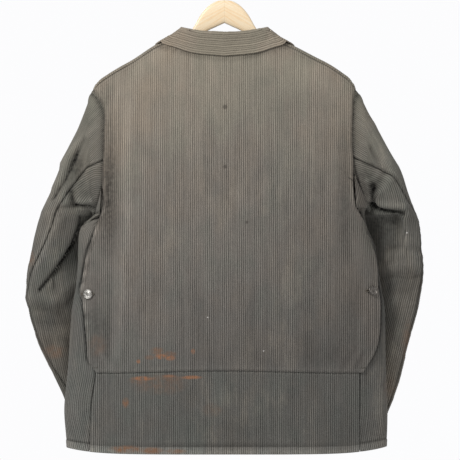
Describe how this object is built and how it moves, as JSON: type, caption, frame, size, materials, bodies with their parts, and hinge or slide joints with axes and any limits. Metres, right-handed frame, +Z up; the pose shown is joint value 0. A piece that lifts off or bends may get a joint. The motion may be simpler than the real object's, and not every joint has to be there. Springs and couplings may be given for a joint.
{
  "type": "hunting jacket on a wooden hanger",
  "caption": "Ribbed cloth jacket with a turned-down stitched collar and a buttoned game pocket across its back, hanging on a wooden hanger.",
  "frame": {"origin": "the point inside the hook's bend that bears on a rail or peg", "axes": "+Z up; the jacket's front faces -Y and its back +Y; +X is the wearer's left"},
  "size_m": [0.7152, 0.1514, 0.8896],
  "materials": {
    "corduroy": "ribbed cotton, washed and worn",
    "collar_cloth": "the same cloth with rows of stitching",
    "button_bright": "worn bright metal",
    "button_dark": "darkened metal",
    "wood": "clear satin",
    "steel": "bright"
  },
  "bodies": {
    "root": {"back_panel": "corduroy", "back_inner": "corduroy", "back_lower": "corduroy", "front_left": "corduroy", "front_right": "corduroy", "collar": "collar_cloth", "sleeve_left_upper": "corduroy", "sleeve_left_under": "corduroy", "sleeve_right_upper": "corduroy", "sleeve_right_under": "corduroy", "button_pocket_left": "button_bright", "button_pocket_right": "button_dark", "button_front_1": "button_dark", "button_front_2": "button_dark", "button_front_3": "button_dark", "button_front_4": "button_dark", "button_front_5": "button_dark", "hanger_body": "wood", "hanger_hook": "steel"}
  },
  "joints": []
}
